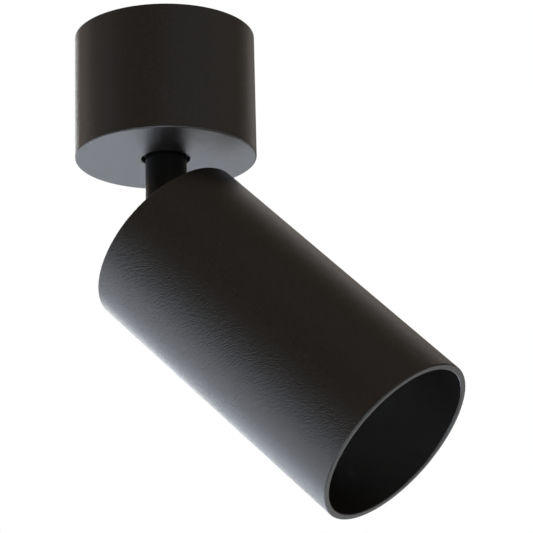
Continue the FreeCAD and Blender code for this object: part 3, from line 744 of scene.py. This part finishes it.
def lead_tube(name, routes, radius, finish, around=18):
    """Round leads along these lines, as one mesh. Its UV map runs round each lead from 0 to 1, and along it
    in metres."""
    points, faces, corners_uv = [], [], []
    for route in routes:
        first = len(points)
        heading = (route[1] - route[0]).normalized()
        outward = heading.orthogonal().normalized()
        lengths = [0.0]
        for index, place in enumerate(route):
            ahead = route[min(index + 1, len(route) - 1)] - route[max(index - 1, 0)]
            turned = heading.rotation_difference(ahead.normalized())
            outward.rotate(turned)
            heading = ahead.normalized()
            sideways = heading.cross(outward)
            if index:
                lengths.append(lengths[-1] + (place - route[index - 1]).length)
            for step in range(around):
                angle = 2 * math.pi * step / around
                reach = (outward * math.cos(angle) + sideways * math.sin(angle)) * radius / 1000
                points.append(place + reach)
        for index in range(len(route) - 1):
            near, far = first + index * around, first + (index + 1) * around
            for step in range(around):
                beside = (step + 1) % around
                faces.append((near + step, near + beside, far + beside, far + step))
                left, right = step / around, (step + 1) / around
                low, high = lengths[index], lengths[index + 1]
                corners_uv += [(left, low), (right, low), (right, high), (left, high)]
        last = first + (len(route) - 1) * around
        faces.append(tuple(first + step for step in reversed(range(around))))
        faces.append(tuple(last + step for step in range(around)))
        corners_uv += [(0.0, 0.0)] * (2 * around)
    sheet = bpy.data.meshes.new(name)
    sheet.from_pydata(points, [], faces)
    layer = sheet.uv_layers.new(name="round_and_along")
    for corner, uv in zip(layer.data, corners_uv):
        corner.uv = uv
    sheet.materials.append(finish.made)
    made = bpy.data.objects.new(name, sheet)
    bpy.context.scene.collection.objects.link(made)
    smooth(made, 50.0)
    return made


def along_lead(finish, stretch):
    """Place on a lead's skin, counted this closely round it and along it."""
    place = finish.node("ShaderNodeTexCoord", output="UV")
    return finish.node("ShaderNodeVectorMath", {"operation": "MULTIPLY"}, {0: place, 1: stretch})


def silicone(name, dark, light, stripe_dark=None, stripe_light=None):
    """Extruded silicone, a little dusty with talc, with faint draw lines along it. It may have two stripes
    of another colour."""
    made = Finish(name)
    talc = grain(made, 1.0, 4.0, 0.6, along_lead(made, (40.0, 260.0, 1.0)))
    colour = made.mixed(talc, dark, light)
    if stripe_dark:
        place = made.node("ShaderNodeTexCoord", output="UV")
        round_lead = made.node("ShaderNodeSeparateXYZ", {}, {"Vector": place})
        stripe = only_above(made, (round_lead * (4 * math.pi)).sine(), 0.1, 0.2)
        colour = made.mixed(stripe, colour, made.mixed(talc, stripe_dark, stripe_light))
    surface(made, {
        "Base Color": colour,
        "Roughness": 0.36 + 0.18 * talc,
        "Normal": relief(made, talc, 0.00002),
    })
    return made


copper = Finish("copper")
strands = grain(copper, 900.0, 3.0, 0.5)
surface(copper, {
    "Base Color": copper.mixed(strands, (0.80, 0.42, 0.26), (0.62, 0.30, 0.17)),
    "Metallic": 1.0,
    "Roughness": 0.22 + 0.2 * strands,
    "Normal": relief(copper, strands, 0.00005),
})
brown_silicone = silicone("brown_silicone", (0.13, 0.048, 0.018), (0.19, 0.082, 0.036))
blue_silicone = silicone("blue_silicone", (0.016, 0.085, 0.33), (0.035, 0.13, 0.43))
green_yellow = silicone(
    "green_yellow", (0.035, 0.19, 0.04), (0.06, 0.24, 0.06), (0.66, 0.50, 0.03), (0.72, 0.57, 0.08)
)

neck_split = -40.0
bundle_top = -27.4
bare_length = 9.8
pole_offset = 4.0
block_face = 8.6
tag_end = -4.0
tag_under = -2.3
earth_level = tag_under - lead_radius


def run_to_pole(x):
    """The last corners of a lead that goes into the connector block at this place across it."""
    inside = block_face + 1.6
    return [(x, 0.0, wire_level - 1.0), (x, 4.0, wire_level), (x, 7.5, wire_level), (x, inside, wire_level)]


run_to_tag = [(tag_end + beside, 0.0, earth_level) for beside in (4.5, 1.5, -1.2)]
for name, node, slot, finish, index, run in (
    ("live_lead", "canopy_live_lead", "brown_lead", brown_silicone, 1, run_to_pole(-pole_offset)),
    ("neutral_lead", "canopy_neutral_lead", "blue_lead", blue_silicone, 2, run_to_pole(pole_offset)),
    ("earth_lead", "canopy_earth_lead", "green_yellow_lead", green_yellow, 0, run_to_tag),
):
    x, y = lead_place(index)
    low_part = [(x, y, neck_split), (x, y, -34.0), (x, y, bundle_top), (x, y, -21.5)]
    route = smooth_line(low_part + [by_strap(*corner) for corner in run])
    lead = lead_tube(name, [route], lead_radius, finish)
    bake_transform(lead)
    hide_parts(node)

bare_start = block_face + 1.2
bare_routes = [
    smooth_line([by_strap(x, bare_start, wire_level), by_strap(x, bare_start + bare_length, wire_level)])
    for x in (-pole_offset, pole_offset)
]
bare_ends = lead_tube("bare_lead_ends", bare_routes, strand_radius, copper)
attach(bare_ends, "canopy")


# The leads through the tilt hinge
# Three leads go on down the neck's bore, out between the hinge's ears and through the bracket's slot.
# Live and neutral wear woven glass sleeves against the lamp's heat; the earth lead ends at the cap's tag.
woven_sleeve = Finish("woven_sleeve")
sleeve_place = woven_sleeve.node("ShaderNodeTexCoord", output="UV")
yarn_round = 50.27
yarn_along = 8900.0
yarns = []
for along in (yarn_along, -yarn_along):
    values = {0: sleeve_place, 1: (yarn_round, along, 0.0)}
    yarns.append(woven_sleeve.node("ShaderNodeVectorMath", {"operation": "DOT_PRODUCT"}, values, "Value"))
weave = yarns[0].sine().or_higher(yarns[1].sine())
varnish = grain(woven_sleeve, 1.0, 3.0, 0.5, along_lead(woven_sleeve, (6.0, 300.0, 1.0)))
yarn_colour = woven_sleeve.mixed(varnish, (0.60, 0.575, 0.50), (0.70, 0.68, 0.62))
yarn_tops = only_above(woven_sleeve, weave, -0.2, 0.5)
surface(woven_sleeve, {
    "Base Color": woven_sleeve.mixed(yarn_tops, (0.36, 0.33, 0.27), yarn_colour),
    "Roughness": 0.62 + 0.16 * varnish,
    "Sheen Weight": 0.25,
    "Sheen Roughness": 0.5,
    "Normal": relief(woven_sleeve, weave, 0.00009),
})


def down_the_neck(index):
    """A lead's corners from half way up the bore to where it is free below the knuckle."""
    x, y = lead_place(index)
    return [(x, y, neck_split), (x, y, -58.0), (x, y, -74.0), (x, y, -77.6)]


def head_corner(across, side, down):
    """A corner in the head as millimetres in the frame."""
    return tuple(1000 * metre for metre in in_head(across, side, down))


sleeved_corners = ((-14.2, 9.6), (-16.4, 12.0), (-16.6, 15.8), (-14.0, 15.8), (-11.0, 15.8))
sleeved_routes = [
    smooth_line(down_the_neck(index) + [head_corner(across, side, down) for across, down in sleeved_corners])
    for index, side in ((1, -1.5), (2, 1.5))
]
sleeved_leads = lead_tube("sleeved_leads", sleeved_routes, lead_radius, woven_sleeve)
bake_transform(sleeved_leads)
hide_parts("neck_leads", "head_leads")

earth_corners = ((-8.9, 5.0, 8.9), (-10.4, 6.6, 8.95), (-13.9, 3.1, 8.95))
earth_route = smooth_line(down_the_neck(0) + [head_corner(*corner) for corner in earth_corners])
head_earth = lead_tube("hinge_earth_lead", [earth_route], lead_radius, green_yellow)
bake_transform(head_earth)
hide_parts("head_earth_lead")
